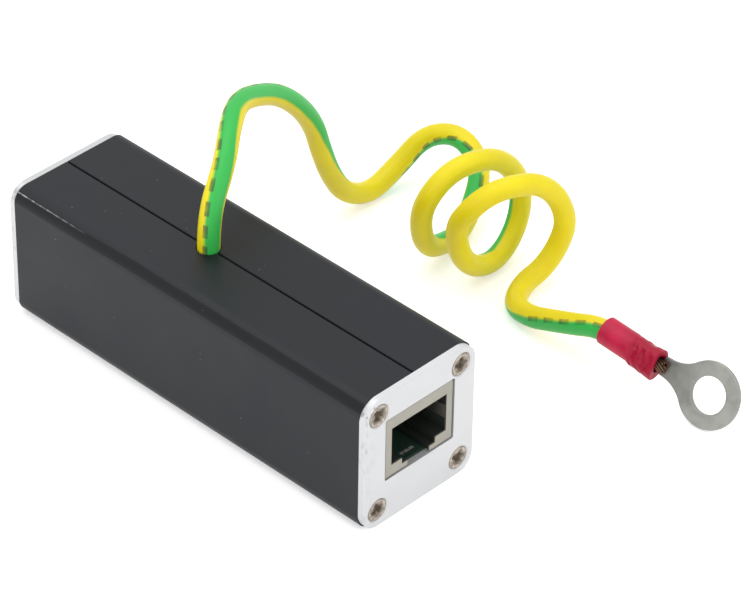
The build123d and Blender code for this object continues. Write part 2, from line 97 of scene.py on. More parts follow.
# Dents in the sleeve's pressed top: middle along it and aside, half width, and depth
SLEEVE_DENTS = ((7.3, 1.6, 0.5, 0.3), (9.1, 0.2, 0.9, 0.26), (11.0, -0.2, 1.1, 0.2))

# Strands: their radius, the layers' radii and the length of one twist, in millimetres,
# and the faces round a strand
STRAND_RADIUS = 0.21
INNER_LAYER = 0.43
OUTER_LAYER = 0.86
STRAND_TWIST = 15
STRAND_SIDES = 10

# Screws, in millimetres: how far they stand from the plate's edges, their head and
# shank, and how far each cross is turned, in degrees
SCREW_INSET = 3.4
SCREW_SINK = 0.15
SCREW_HEAD = 4.3
SCREW_LAND = 0.1
SCREW_SHANK = 2.2
SCREW_LENGTH = 8.0
SCREW_TIP = 0.8
SCREW_TURNS = (12, 38, 63, 80)

# Route of the earth wire in millimetres: up out of the hole, over to the table and
# round to where the open turns start
LEAD_POINTS = (
    (-0.6, 6.3, 25.2), (-0.6, 6.3, 33.3), (5.8, 8.9, 39.3), (11.3, 13.2, 42.5), (17.3, 17.4, 42.7),
    (23.9, 19.5, 40.0), (30.2, 20.6, 36.5), (35.6, 21.0, 31.3), (39.7, 21.4, 25.1), (42.2, 22.0, 18.1),
    (45.0, 22.4, 11.2), (48.8, 22.4, 4.9), (55.6, 22.4, 1.5), (62.6, 22.3, 4.2), (67.8, 20.2, 9.9),
    (70.0, 13.3, 12.3), (68.4, 6.4, 9.1), (62.8, 3.6, 4.2), (57.1, 1.8, 1.7),
)
# The two open turns: bottom, left, top and right of each, seen from the front
TURN_STATIONS = (
    (52.2, 0.7, 3.2), (43.8, -1.4, 15.0), (52.0, -4.7, 23.7), (64.5, -6.8, 12.0),
    (55.6, -8.2, 1.8), (45.0, -8.7, 15.3), (52.3, -15.0, 23.8), (63.4, -18.7, 12.6),
    (54.6, -16.6, 2.1),
)
POINTS_PER_QUARTER = 3
TAIL_POINTS = (
    (48.9, -19.5, 2.0), (47.4, -25.0, 3.1), (47.6, -29.5, 4.7), (47.9, -34.9, 6.6),
)

# The photograph's viewpoint, what it is aimed at, in millimetres, and its roll in degrees
VIEWPOINT = (-375.87, -391.55, 429.98)
VIEW_AIM = (21.35, -11.43, 13.35)
VIEW_ROLL = 0.987

# Lie of the green stripe: distance along the wire in millimetres, and degrees about it
# from the side that faces the viewpoint over to the left of the wire's run
STRIPE_TURNS = (
    (0, -25), (10, -20), (20, 0), (27, 20), (35, 26), (40, 30), (50, 34), (55, 40), (59, 51), (64, 72),
    (69, 90), (74, 100), (80, 118), (85, 141), (90, 171), (95, -121), (100, -103), (105, -84), (110, -70),
    (115, -52), (120, -30), (125, -24), (130, -36), (135, -58), (140, -64), (145, -134), (150, -168),
    (160, -176), (170, -173), (175, -155), (180, -122), (185, -93), (190, -87), (195, -86), (200, -87),
    (205, -124), (210, -167), (215, 176), (225, 153), (235, -178), (245, -160), (250, -150), (257, -145),
    (262, -140), (267, -130), (271, -115), (275, -72), (280, -50), (285, -42), (290, -32), (295, -30),
)

# Runs of the wire that carry the row of dashes, and the pitch of the dashes, in mm
INKED_RUNS = ((1, 46), (97, 129), (277, 296))
DASH_PITCH = 3.55

# Colours of dust, scuffs and wear, and of the painted shade on the housing's upper left
# rounding; the housing's worn line is wear and painted highlight both
HOUSING_DUST = (0.3, 0.31, 0.3)
SHADE_BAND_BLACK = (0.007, 0.0065, 0.006)
BARE_METAL_HIGHLIGHT = (0.42, 0.43, 0.43)
PLATE_SCUFF = (0.3, 0.3, 0.31)
CORNER_MARK = (0.2, 0.2, 0.21)
DEEP_RED = (0.35, 0.001, 0.025)
SLEEVE_DUST = (0.75, 0.4, 0.45)

# Where the sleeve and the ring's neck darken: |y| at the start and the end, in
# millimetres, and the share reached there
SLEEVE_SHADE = (46.0, 49.5, 0.8)
NECK_SHADE = (62.0, 53.5, 0.35)

# Stage: lamps with their places and sides and what they are aimed at, in metres, and
# the floor's half side, grey and glow
LAMPS = (
    ("overhead", (0.0, 0.1, 0.7), 0.7),
    ("left", (-0.7, -0.1, 0.35), 0.6),
    ("front", (0.15, -0.75, 0.3), 0.6),
)
LAMP_AIM = (0.02, -0.01, 0.01)
FLOOR_REACH = 4.0
FLOOR_GREY = 0.9
FLOOR_GLOW = 0.44
WHITE = (1.0, 1.0, 1.0, 1.0)


# Sizes and colours that a user would change

Length = partial(FloatProperty, unit="LENGTH")
Colour = partial(FloatVectorProperty, subtype="COLOR")


class WireSettings(bpy.types.PropertyGroup):
    """Insulated earth wire."""

    diameter: Length(name="Diameter", description="Outside of the insulation", default=0.004)
    length: Length(name="Length", description="From the hole to its end in the sleeve", default=0.2967)
    sides: IntProperty(name="Sides", description="Faces round the wire", default=40)
    green_share: FloatProperty(
        name="Green share", description="Share of the circumference that is green",
        default=0.26, subtype="FACTOR",
    )
    yellow: Colour(name="Yellow", description="Body of the insulation", default=(0.89, 0.745, 0.01))
    green: Colour(name="Green", description="Stripe of the insulation", default=(0.045, 0.52, 0.088))
    ink: Colour(name="Ink", description="Row of plain dashes beside the stripe", default=(0.05, 0.06, 0.03))
    copper: Colour(name="Copper", description="Bare strands", default=(0.155, 0.087, 0.056))
    strands: IntProperty(name="Outer strands", description="Strands in the outer layer", default=12)


class TerminalSettings(bpy.types.PropertyGroup):
    """Crimped ring terminal and its sleeve."""

    ring_diameter: Length(name="Ring", description="Outside of the ring", default=0.0121)
    hole_diameter: Length(name="Hole", description="Hole for the stud", default=0.0067)
    thickness: Length(name="Thickness", description="Sheet of the ring", default=0.0008)
    edge_radius: Length(name="Edge radius", description="Rounding of the stamped edges", default=0.00018)
    sleeve: Colour(name="Sleeve", description="Soft plastic of the sleeve", default=(0.56, 0.014, 0.06))
    tin: Colour(name="Tin", description="Dull tinned surface", default=(0.355, 0.36, 0.33))


class BoxSettings(bpy.types.PropertyGroup):
    """Finishes of the box, its plates, screws and sockets."""

    black: Colour(name="Black", description="Anodised housing", default=(0.006, 0.008, 0.0115))
    silver: Colour(name="Silver", description="Anodised end plates", default=(0.7, 0.705, 0.715))
    nickel: Colour(name="Nickel", description="Worn screw heads", default=(0.46, 0.4, 0.34))
    grime: Colour(name="Grime", description="Dirt in the screws' recesses", default=(0.09, 0.065, 0.04))
    shield: Colour(name="Shield", description="Tinned sheet of the sockets", default=(0.36, 0.345, 0.3))
    moulding: Colour(name="Moulding", description="Insert of the sockets", default=(0.02, 0.026, 0.022))
    gold: Colour(name="Gold", description="Contact wires", default=(0.83, 0.62, 0.25))
    laminate: Colour(name="Laminate", description="Circuit board", default=(0.02, 0.045, 0.034))
    ceramic: Colour(name="Ceramic", description="Arrester tubes", default=(0.8, 0.78, 0.72))
    solder: Colour(name="Solder", description="Solder, leads and bands", default=(0.62, 0.62, 0.6))
    resin: Colour(name="Resin", description="Diode bodies", default=(0.02, 0.02, 0.02))


class StageSettings(bpy.types.PropertyGroup):
    """Light, floor and camera."""

    ambient: FloatProperty(name="Ambient", description="Even light from all round", default=0.68)
    overhead: FloatProperty(name="Overhead", description="Large lamp above", default=2.0, unit="POWER")
    left: FloatProperty(name="Left", description="Large lamp at the left", default=1.1, unit="POWER")
    front: FloatProperty(name="Front", description="Large lamp in front", default=0.9, unit="POWER")
    focal_length: FloatProperty(
        name="Focal length", description="Lens on a 36 mm sensor, in mm", default=193.19
    )


# Meshes from grids


def grid_faces(rows, columns, close_rows):
    """Quads of a grid whose columns go round: rows x columns x 4 vertex numbers.

    Face (i, j) joins points (i, j), (i, j+1), (i+1, j+1) and (i+1, j), with j+1 taken
    round the columns, and i+1 round the rows too where the rows close.
    """
    spans = rows if close_rows else rows - 1
    i, j = np.meshgrid(np.arange(spans), np.arange(columns), indexing="ij")
    below = (i + 1) % rows
    beside = (j + 1) % columns
    corners = [i * columns + j, i * columns + beside, below * columns + beside, below * columns + j]
    return np.stack(corners, axis=-1).reshape(-1, 4)


def smooth_mesh(name, points, faces):
    """Smooth-shaded mesh of those points and faces."""
    mesh = bpy.data.meshes.new(name)
    mesh.from_pydata(points, [], faces)
    mesh.polygons.foreach_set("use_smooth", np.ones(len(mesh.polygons), dtype=bool))
    mesh.update()
    return mesh


def grid_mesh(name, points, close_rows=False):
    """Closed mesh of a rows x columns x 3 grid, with a flat cap at each open end."""
    rows, columns = points.shape[:2]
    faces = grid_faces(rows, columns, close_rows).tolist()
    if not close_rows:
        last = (rows - 1) * columns
        faces.append(list(range(columns))[::-1])
        faces.append(list(range(last, last + columns)))
    return smooth_mesh(name, points.reshape(-1, 3), faces)


def places_of(mesh):
    """Places of a mesh's vertices, one row each."""
    flat = np.empty(3 * len(mesh.vertices))
    mesh.vertices.foreach_get("co", flat)
    return flat.reshape(-1, 3)


def joined(name, meshes):
    """One mesh of several, their vertices and faces one after another."""
    places, faces, start = [], [], 0
    for mesh in meshes:
        places.append(places_of(mesh))
        faces += [[start + index for index in face.vertices] for face in mesh.polygons]
        start += len(mesh.vertices)
        bpy.data.meshes.remove(mesh)
    return smooth_mesh(name, np.concatenate(places), faces)


def put(name, data):
    """New object of that mesh, curve, lamp or camera, at the origin of the scene."""
    piece = bpy.data.objects.new(name, data)
    bpy.context.scene.collection.objects.link(piece)
    return piece


def show(name, mesh, material, slot, *stands_for):
    """Object of that mesh at the origin, riding on the part in place of those CAD nodes."""
    piece = put(name, mesh)
    mesh.materials.append(material)
    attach(piece, "root")
    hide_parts(*stands_for)
    return piece


def sharpen(mesh, angle):
    """Edges that turn by more than the angle, in degrees, are shaded sharp."""
    mesh.set_sharp_from_angle(angle=math.radians(angle))


# Places along the wire and the terminal


def terminal_frame():
    """Matrix from the terminal's own axes to the row frame, in metres.

    Local x runs from the wire to the ring and local z is square to the ring. The
    ring is rolled about x and its lowest point touches the ground.
    """
    heading, dip, roll = (math.radians(value) for value in (RING_HEADING, RING_DIP, RING_ROLL))
    level = Vector((-math.sin(heading), math.cos(heading), 0.0))
    along = Vector((math.cos(heading) * math.cos(dip), math.sin(heading) * math.cos(dip), -math.sin(dip)))
    normal = along.cross(level) * math.cos(roll) - level * math.sin(roll)
    if normal.z < 0:
        normal = -normal
    settings = bpy.context.scene.protector_terminal
    lean = math.sqrt(1 - normal.z**2)
    height = settings.ring_diameter / 2 * lean + settings.thickness / 2 * normal.z
    centre = Vector((RING_CENTRE[0] * MM, RING_CENTRE[1] * MM, height))
    across = normal.cross(along)
    return Matrix.Translation(centre) @ Matrix((along, across, normal)).transposed().to_4x4()


def placed(points, matrix):
    """Points of any grid shape, moved by a matrix."""
    turn = np.array(matrix.to_3x3())
    return points @ turn.T + np.array(matrix.translation)


def coil_points():
    """Points of the two turns: a quarter of an ellipse from each station to the next."""
    points = []
    for index in range(len(TURN_STATIONS) - 1):
        x0, y0, z0 = TURN_STATIONS[index]
        x1, y1, z1 = TURN_STATIONS[index + 1]
        for step in range(POINTS_PER_QUARTER):
            angle = math.pi / 2 * step / POINTS_PER_QUARTER
            leave, arrive = math.sin(angle), 1 - math.cos(angle)
            if index % 2:
                leave, arrive = arrive, leave
            y = y0 + (y1 - y0) * step / POINTS_PER_QUARTER
            points.append((x0 + (x1 - x0) * leave, y, z0 + (z1 - z0) * arrive))
    points.append(TURN_STATIONS[-1])
    return points


def barrel_rise():
    """Height of the wire's axis over the middle of the ring's sheet, in metres."""
    return (BARREL_HEIGHT * MM - bpy.context.scene.protector_terminal.thickness) / 2


def wire_route():
    """Smooth line of the wire: points read from one NURBS spline over the whole route."""
    terminal = terminal_frame()
    rise = barrel_rise()
    ends = [
        terminal @ Vector((-(RING_REACH + MOUTH_RUN) * MM, 0, rise)),
        terminal @ Vector((-(RING_REACH - WIRE_ENTRY) * MM, 0, rise)),
    ]
    corners = [Vector(point) * MM for point in (*LEAD_POINTS, *coil_points(), *TAIL_POINTS)] + ends
    curve = bpy.data.curves.new("wire_route", "CURVE")
    curve.dimensions = "3D"
    curve.resolution_u = 12
    spline = curve.splines.new("NURBS")
    spline.points.add(len(corners) - 1)
    for control, corner in zip(spline.points, corners):
        control.co = (*corner, 1.0)
    spline.order_u = 3
    spline.use_endpoint_u = True
    holder = put("wire_route", curve)
    line = bpy.data.meshes.new_from_object(holder)
    path = places_of(line)
    bpy.data.objects.remove(holder)
    bpy.data.curves.remove(curve)
    bpy.data.meshes.remove(line)
    return path


def unit(vectors):
    """Each vector over its own length."""
    return vectors / np.linalg.norm(vectors, axis=-1, keepdims=True)


def round_angles(count):
    """Angles of that many points evenly round a circle, from 0."""
    return np.arange(count) * 2 * math.pi / count


def square_to(vectors, along):
    """Unit vectors square to the unit ones along: each vector less its share along."""
    return unit(vectors - along * np.sum(vectors * along, axis=-1, keepdims=True))


def read_at(places, stations, values):
    """Rows of values at places, read off straight lines between the stations."""
    return np.stack([np.interp(places, stations, column) for column in values.T], axis=-1)


# Material nodes


class Field:
    """One output of a node. A sum of fields and numbers adds the nodes that work it out."""

    def __init__(self, node, output):
        self.socket = node.outputs[output]
        self.tree = node.id_data

    def __add__(self, other):
        return maths("ADD", self, other)

    def __radd__(self, other):
        return maths("ADD", other, self)

    def __sub__(self, other):
        return maths("SUBTRACT", self, other)

    def __rsub__(self, other):
        return maths("SUBTRACT", other, self)

    def __mul__(self, other):
        return maths("MULTIPLY", self, other)

    def __abs__(self):
        return maths("ABSOLUTE", self)


def add(tree, kind, inputs=(), **settings):
    """A node with its settings and its inputs: a field is linked, a value is set."""
    made = tree.nodes.new(kind)
    for key, value in settings.items():
        setattr(made, key, value)
    for key, value in dict(inputs).items():
        if isinstance(value, Field):
            tree.links.new(value.socket, made.inputs[key])
        else:
            made.inputs[key].default_value = value
    return made


def maths(operation, first, second=0.0):
    """One sum of two values, at least one of them a field."""
    tree = first.tree if isinstance(first, Field) else second.tree
    return Field(add(tree, "ShaderNodeMath", {0: first, 1: second}, operation=operation), "Value")


def start_material(name):
    """New material and the Object coordinates in its empty node tree."""
    material = bpy.data.materials.new(name)
    material.use_nodes = True
    material.node_tree.nodes.clear()
    return material, Field(add(material.node_tree, "ShaderNodeTexCoord"), "Object")


def finish_material(material, base, roughness, normal, **others):
    """The material with a Principled shader that has these inputs."""
    named = {"Base Color": base, "Roughness": roughness, "Normal": normal}
    named.update((key.replace("_", " "), value) for key, value in others.items())
    shader = add(material.node_tree, "ShaderNodeBsdfPrincipled", named)
    add(material.node_tree, "ShaderNodeOutputMaterial", {"Surface": Field(shader, "BSDF")})
    return material


def axes(coords):
    """The x, y and z of coordinates."""
    parts = add(coords.tree, "ShaderNodeSeparateXYZ", {"Vector": coords})
    return [Field(parts, axis) for axis in "XYZ"]


def stretched(coords, scale):
    """Coordinates scaled along each axis."""
    return Field(add(coords.tree, "ShaderNodeMapping", {"Vector": coords, "Scale": scale}), "Vector")


def noise(coords, scale, detail=3.0, roughness=0.55):
    """Cloud noise, 0 to 1; scale is in cells per metre."""
    inputs = {"Vector": coords, "Scale": scale, "Detail": detail, "Roughness": roughness}
    return Field(add(coords.tree, "ShaderNodeTexNoise", inputs), "Fac")


def remap(value, low, high, to_low=0.0, to_high=1.0):
    """Value from low to high made to_low to to_high, and held beyond them."""
    inputs = {"Value": value, "From Min": low, "From Max": high, "To Min": to_low, "To Max": to_high}
    return Field(add(value.tree, "ShaderNodeMapRange", inputs), "Result")


def blend(factor, first, second):
    """Colour from the first to the second as the factor goes from 0 to 1."""
    inputs = {0: factor}
    for index, value in ((6, first), (7, second)):
        inputs[index] = value if isinstance(value, Field) else (*value[:3], 1.0)
    return Field(add(factor.tree, "ShaderNodeMix", inputs, data_type="RGBA"), 2)


def bump(height, strength, distance):
    """Normal of a small relief; distance is its depth in metres."""
    inputs = {"Height": height, "Strength": strength, "Distance": distance}
    return Field(add(height.tree, "ShaderNodeBump", inputs), "Normal")


def specks(coords, scale, radius, share):
    """Small dots, one to a cell at most: 1 inside a dot."""
    cells = add(coords.tree, "ShaderNodeTexVoronoi", {"Vector": coords, "Scale": scale})
    chosen = maths("LESS_THAN", Field(cells, "Color"), share)
    return remap(Field(cells, "Distance"), radius, radius * 0.5) * chosen


def scaled(colour, factor):
    """Colour made lighter or darker, channel by channel."""
    return tuple(min(1.0, channel * factor) for channel in colour)


def varied(colour, field, low, high):
    """Colour times low where the field is 0, up to times high where it is 1."""
    return blend(field, scaled(colour, low), scaled(colour, high))


def near_line(coords, x, z, radius):
    """1 on the line along y at that x and z, down to 0 at a radius, all in metres."""
    off = coords
    for operation, other in (("SUBTRACT", (x, 0.0, z)), ("MULTIPLY", (1.0, 0.0, 1.0))):
        off = Field(add(off.tree, "ShaderNodeVectorMath", {0: off, 1: other}, operation=operation), "Vector")
    distance = Field(add(off.tree, "ShaderNodeVectorMath", {0: off}, operation="LENGTH"), "Value")
    return remap(distance, radius, radius * 0.4)


def darker_along_y(coords, start, end, share):
    """Share by which a surface darkens, from 0 to all of it as |y| goes from start to end in mm."""
    return remap(abs(axes(coords)[1]), start * MM, end * MM, 0.0, share)


# Finishes


def black_anodised(settings):
    """Satin black anodising: drawn lines along the extrusion, dust, wear and a dark seam.

    The angle round the upper left edge, 0 at its top, places a strip of painted shade there,
    a little darker, less blue and duller, in place of the rounding's dark reflection; it lies
    lower towards the rear. At the rear the edge is worn bare in a line, which is wear and
    painted highlight both.
    """
    colour = settings.black
    material, coords = start_material("black_anodised")
    x, y, z = axes(coords)
    drawn = noise(stretched(coords, (1.0, 0.015, 1.0)), 2600.0, 2.0)
    cloud = noise(coords, 90.0, 4.0)
    grain = noise(coords, 9000.0, 2.0)
    base = varied(colour, remap(cloud, 0.35, 0.7), 0.85, 1.2)
    base = blend(specks(coords, 420.0, 0.06, 0.4) * 0.5, base, HOUSING_DUST)
    upward = z - (body_high[2] - EDGE_RADIUS * MM)
    wander = (noise(coords, 160.0) - 0.5) * 0.12
    lower = remap(y, 15 * MM, 30 * MM, 0.0, -0.17)
    around = maths("ARCTAN2", body_low[0] + EDGE_RADIUS * MM - x, upward) + (wander + lower)
    # Painted shade: a darker, duller strip on the upper left rounding
    shade_band = remap(around, 0.55, 0.6) * remap(around, 1.3, 1.22)
    base = blend(shade_band * 0.6, base, SHADE_BAND_BLACK)
    seam = near_line(coords, SEAM_X * MM, body_high[2], 0.3 * MM)
    base = blend(seam, base, scaled(colour, 0.1))
    far_side = x - (body_high[0] - EDGE_RADIUS * MM)
    far_rounding = remap(maths("ARCTAN2", far_side, upward), 0.3, 0.8)
    dull = remap(maths("MAXIMUM", shade_band, far_rounding), 0.0, 1.0, 1.0, 0.7)
    dull = dull * remap(around, 1.35, 1.55, 1.0, 0.84) * remap(seam, 0.0, 1.0, 1.0, 0.3)
    gloss = remap(y, -10 * MM, 30 * MM, 0.305, 0.335) + remap(around, 0.1, 0.5, 0.0, 0.05)
    angle = math.radians(RUBBED_HIGHLIGHT_ANGLE)
    ridge_x = body_low[0] + EDGE_RADIUS * MM * (1 - math.sin(angle))
    ridge_z = body_high[2] - EDGE_RADIUS * MM * (1 - math.cos(angle))
    rear_end = remap(y, 24 * MM, 38 * MM)
    patchy = remap(noise(coords, 700.0), 0.36, 0.56)
    # Worn line at the rear of the upper left edge: wear and painted highlight both
    rubbed_highlight = near_line(coords, ridge_x, ridge_z, 0.14 * MM) * (rear_end * patchy)
    base = blend(rubbed_highlight, base, BARE_METAL_HIGHLIGHT)
    normal = bump(drawn * 0.7 + grain * 0.3, 0.35, 0.012 * MM)
    rough = remap(cloud, 0.3, 0.7, 0.4, 0.5)
    return finish_material(material, base, rough, normal, Specular_IOR_Level=gloss * dull)


def silver_anodised(settings):
    """Fine satin anodised plate with grey scuffs along its left edge, stronger higher up.

    The front plate has dark marks at its upper left corner, and the rear plate's top
    edge is darker with painted shade.
    """
    colour = settings.silver
    left, top = body_low[0], body_high[2]
    material, coords = start_material("silver_anodised")
    x, y, z = axes(coords)
    satin = noise(coords, 5200.0, 2.0)
    base = varied(colour, remap(noise(coords, 120.0), 0.35, 0.7), 0.96, 1.0)
    edge = remap(x, left + 3.5 * MM, left + 0.8 * MM) * remap(z, 12 * MM, 22 * MM, 0.3, 1.0)
    scuff = remap(noise(stretched(coords, (1.4, 1.0, 0.7)), 620.0, 6.0, 0.75), 0.52, 0.62) * edge
    base = blend(scuff * 0.6, base, PLATE_SCUFF)
    corner = near_line(coords, left + MM, top - MM, 2.4 * MM) * maths("LESS_THAN", y)
    marks = specks(coords, 1100.0, 0.34, 0.6) * corner
    base = blend(marks * 0.75, base, CORNER_MARK)
    # Painted shade along the rear plate's top edge
    rear_top_shade = remap(z, top - 0.2 * MM, top - 0.05 * MM) * remap(y, -MM, MM, 0.0, 0.9)
    base = blend(rear_top_shade, base, scaled(colour, 0.86))
    rough = remap(satin, 0.3, 0.7, 0.38, 0.5)
    return finish_material(material, base, rough, bump(satin, 0.3, 0.008 * MM), Metallic=0.45)


def tinned(name, colour, rough_low, rough_high, blotch=0.25, shade=None):
    """Dull tinned or nickelled metal: blotches, fine scratches, pits and bright specks."""
    material, coords = start_material(name)
    cloud = noise(coords, 260.0, 4.0, 0.6)
    scratch = noise(stretched(coords, (1.0, 0.08, 1.0)), 5200.0)
    base = varied(colour, remap(cloud, 0.35, 0.65), 1 - blotch, 1 + blotch / 3)
    pits = specks(coords, 900.0, 0.09, 0.2)
    base = blend(pits * 0.6, base, scaled(colour, 0.45))
    base = blend(specks(coords, 1300.0, 0.1, 0.16) * 0.3, base, scaled(colour, 1.7))
    # Darker along y where a shade is given: painted shade inside the sockets, a darker neck on the ring
    if shade:
        base = blend(darker_along_y(coords, *shade), base, scaled(colour, 0.1))
    rough = remap(cloud, 0.3, 0.7, rough_low, rough_high)
    normal = bump(scratch * 0.5 + pits * -0.5, 0.3, 0.01 * MM)
    return finish_material(material, base, rough, normal, Metallic=0.85)


def worn_nickel(settings):
    """Worn screws: brown grime in the recess, mottled face and a darker rim."""
    colour = settings.nickel
    material, coords = start_material("screw_nickel")
    x, _, z = axes(coords)
    middle = (body_low[2] + body_high[2]) / 2
    off_x = abs(x) - (body_high[0] - SCREW_INSET * MM)
    off_z = abs(z - middle) - (body_high[2] - middle - SCREW_INSET * MM)
    reach = maths("SQRT", off_x * off_x + off_z * off_z)
    mottle = noise(coords, 1300.0, 5.0, 0.75)
    grime = remap(reach + (mottle - 0.5) * (0.9 * MM), 1.8 * MM, 0.75 * MM)
    base = varied(colour, remap(mottle, 0.4, 0.6), 0.5, 1.3)
    base = blend(remap(reach, 1.85 * MM, 2.05 * MM), base, scaled(colour, 0.6))
    base = blend(grime * 0.92, base, settings.grime)
    rough, metal = remap(grime, 0.0, 1.0, 0.32, 0.7), remap(grime, 0.0, 1.0, 0.85, 0.1)
    return finish_material(material, base, rough, bump(mottle, 0.5, 0.03 * MM), Metallic=metal)


def moulded(name, colour, rough_low, rough_high):
    """Moulded plastic or ceramic: slight shade change and a fine spark-eroded grain."""
    material, coords = start_material(name)
    cloud = noise(coords, 180.0)
    rough = remap(cloud, 0.3, 0.7, rough_low, rough_high)
    normal = bump(noise(coords, 7000.0, 2.0), 0.3, 0.01 * MM)
    return finish_material(material, varied(colour, cloud, 0.85, 1.15), rough, normal)


def laminate(settings):
    """Solder mask over glass weave, which shows as a faint grid, and tinned pads, one at each
    end, whose pale colour is solder and painted highlight both.
    """
    colour = settings.laminate
    material, coords = start_material("board_laminate")
    x, y, _ = axes(coords)
    weave = Field(add(coords.tree, "ShaderNodeTexChecker", {"Vector": coords, "Scale": 1800.0}), "Fac")
    cloud = noise(coords, 300.0, 2.0)
    base = varied(colour, cloud, 0.8, 1.2)
    base = blend(weave * 0.12, base, scaled(colour, 1.8))
    # Tinned pads: pale solder colour that also stands for the glint on them, a painted highlight
    pad_glint = remap(abs(x), 1.6 * MM, 1.4 * MM) * remap(abs(abs(y) - PAD_PLACE * MM), 0.36 * MM, 0.26 * MM)
    patchy = remap(noise(coords, 1100.0), 0.4, 0.5, 0.15, 1.0)
    base = blend(pad_glint * patchy, base, scaled(settings.solder, 0.5))
    rough = remap(cloud, 0.3, 0.7, 0.25, 0.4)
    return finish_material(material, base, rough, bump(weave + pad_glint, 0.2, 0.01 * MM))


def insulation(settings):
    """Smooth PVC, yellow with one green stripe and a row of plain ink dashes beside it.

    The piece's UV map gives the place: U goes once round the wire with the middle of
    the stripe at 0.5, and V is the distance along it in metres.
    """
    material, coords = start_material("wire_insulation")
    around, distance, _ = axes(Field(add(coords.tree, "ShaderNodeUVMap", uv_map="wire"), "UV"))
    half = settings.green_share / 2
    waver = (noise(coords, 160.0, 2.0) - 0.5) * 0.03
    green = remap(abs(around - 0.5) + waver, half + 0.02, half - 0.02)
    cloud = noise(coords, 130.0)
    yellow = varied(settings.yellow, remap(cloud, 0.3, 0.7), 0.95, 1.04)
    base = blend(green, yellow, settings.green)
    row = remap(abs(around - (0.5 - half + 0.01)), 0.042, 0.034)
    printed = sum(
        remap(distance, (start - 0.5) * MM, start * MM) * remap(distance, end * MM, (end - 0.5) * MM)
        for start, end in INKED_RUNS
    )
    dash = remap(abs(maths("FRACT", distance * (1000 / DASH_PITCH)) - 0.5), 0.33, 0.27)
    worn = remap(noise(coords, 420.0, 2.0, 0.5), 0.35, 0.62, 0.45, 1.0)
    ink = (row * dash) * (worn * printed)
    return finish_material(
        material,
        blend(ink * 0.7, base, settings.ink),
        remap(cloud, 0.3, 0.7, 0.34, 0.44),
        bump(noise(coords, 1500.0, 2.0), 0.15, 0.02 * MM),
        Specular_IOR_Level=0.35,
        Subsurface_Weight=remap(green, 0.0, 1.0, 0.35, 0.1),
        Subsurface_Radius=(1.0, 0.5, 0.06),
        Subsurface_Scale=2.5 * MM,
    )


def sleeve_plastic(settings):
    """Soft sleeve: slightly cloudy and dusty, and a deeper red towards its far end."""
    colour = settings.sleeve
    material, coords = start_material("sleeve_red")
    cloud = noise(coords, 320.0, 4.0)
    base = varied(colour, remap(cloud, 0.35, 0.7), 0.85, 1.15)
    base = blend(darker_along_y(coords, *SLEEVE_SHADE), base, DEEP_RED)
    base = blend(specks(coords, 800.0, 0.06, 0.3) * 0.4, base, SLEEVE_DUST)
    rough = remap(cloud, 0.3, 0.7, 0.36, 0.5)
    normal = bump(noise(coords, 1300.0), 0.35, 0.04 * MM)
    return finish_material(material, base, rough, normal, Specular_IOR_Level=0.28)


# Pieces


def finish_nodes(material, *nodes):
    """The material on every slot of those CAD nodes."""
    for node in nodes:
        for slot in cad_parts[node].material_slots:
            slot.material = material


class PROTECTOR_OT_housing(bpy.types.Operator):
    """Give both halves of the housing their black anodising"""

    bl_idname = "protector.housing"
    bl_label = "Housing"

    def execute(self, context):
        finish_nodes(black_anodised(context.scene.protector_box), "housing_left", "housing_right")
        return {"FINISHED"}


class PROTECTOR_OT_plates(bpy.types.Operator):
    """Give both end plates their silver anodising"""

    bl_idname = "protector.plates"
    bl_label = "End plates"

    def execute(self, context):
        finish_nodes(silver_anodised(context.scene.protector_box), "front_plate", "rear_plate")
        return {"FINISHED"}


class PROTECTOR_OT_screws(bpy.types.Operator):
    """Make the eight worn cross-head screws"""

    bl_idname = "protector.screws"
    bl_label = "Screws"

    def execute(self, context):
        material = worn_nickel(context.scene.protector_box)
        for name, end, node in (("front_heads", -1, "front_screws"), ("rear_heads", 1, "rear_screws")):
            show(name, screws_mesh(name, end), material, "screw_nickel", node)
        return {"FINISHED"}


class PROTECTOR_OT_sockets(bpy.types.Operator):
    """Give the sockets' shields, inserts and contacts their finishes"""

    bl_idname = "protector.sockets"
    bl_label = "Sockets"

    def execute(self, context):
        box = context.scene.protector_box
        face = abs(plate_face_y) / MM
        # Painted shade: the shield darkens from just inside the plate's face to 3 mm in, inside the socket's
        # mouth
        shield = tinned("shield_tin", box.shield, 0.36, 0.48, 0.1, (face - 0.8, face - 3.0, 0.6))
        finish_nodes(shield, "front_jack_shield", "rear_jack_shield")
        moulding = moulded("insert_plastic", box.moulding, 0.4, 0.55)
        finish_nodes(moulding, "front_jack_insert", "rear_jack_insert")
        gold = tinned("contact_gold", box.gold, 0.2, 0.3, 0.1)
        finish_nodes(gold, "front_jack_contacts", "rear_jack_contacts")
        return {"FINISHED"}


class PROTECTOR_OT_board(bpy.types.Operator):
    """Give the circuit board and what stands on it their finishes"""

    bl_idname = "protector.board"
    bl_label = "Circuit board"

    def execute(self, context):
        box, wire = context.scene.protector_box, context.scene.protector_wire
        finish_nodes(laminate(box), "circuit_board")
        finish_nodes(moulded("arrester_ceramic", box.ceramic, 0.25, 0.4), "arrester_tubes")
        solder = tinned("lead_tin", box.solder, 0.25, 0.4)
        finish_nodes(solder, "arrester_electrodes", "diode_feet", "earth_solder")
        finish_nodes(moulded("diode_resin", box.resin, 0.4, 0.6), "diode_bodies")
        finish_nodes(moulded("inner_insulation", wire.yellow, 0.34, 0.44), "earth_wire_inside")
        finish_nodes(tinned("inner_copper", wire.copper, 0.3, 0.45), "earth_wire_core")
        return {"FINISHED"}


